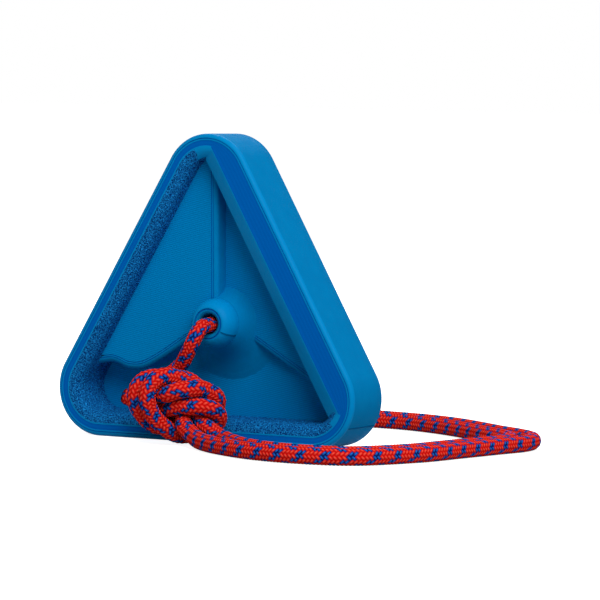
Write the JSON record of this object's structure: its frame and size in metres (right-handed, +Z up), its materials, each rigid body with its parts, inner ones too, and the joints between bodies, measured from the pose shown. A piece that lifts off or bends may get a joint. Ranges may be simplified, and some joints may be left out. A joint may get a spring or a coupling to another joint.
{
  "type": "finger training block",
  "caption": "Three-sided printed block with three rimmed finger pockets of unlike depth and a knotted pull cord through a rounded nose in its middle, for climbers' finger training.",
  "frame": {"origin": "middle of the block's footprint on the table, at the height of its flat bottom side", "axes": "+Z up, +X along the bottom side to the right seen from the open side, +Y from the open side to the back"},
  "size_m": [0.1965, 0.1916, 0.1266],
  "materials": {
    "printed_plastic": "layered print in blue plastic, rough on the finger edges",
    "cord_sheath": "braided sheath, red with blue flecks"
  },
  "bodies": {
    "block": {"block_body": "printed_plastic"},
    "cord": {"stopper_knot": "cord_sheath", "cord_bore_run": "cord_sheath", "cord_front_run": "cord_sheath", "eight_knot_standing_pass": "cord_sheath", "loop_strand_inner": "cord_sheath", "loop_bight": "cord_sheath", "loop_strand_outer": "cord_sheath", "eight_knot_tail_pass": "cord_sheath"}
  },
  "joints": [
    {"name": "cord_pull", "type": "slide", "parent": "block", "child": "cord", "axis": [0, -1, 0], "range_m": [0, 0.006]}
  ]
}
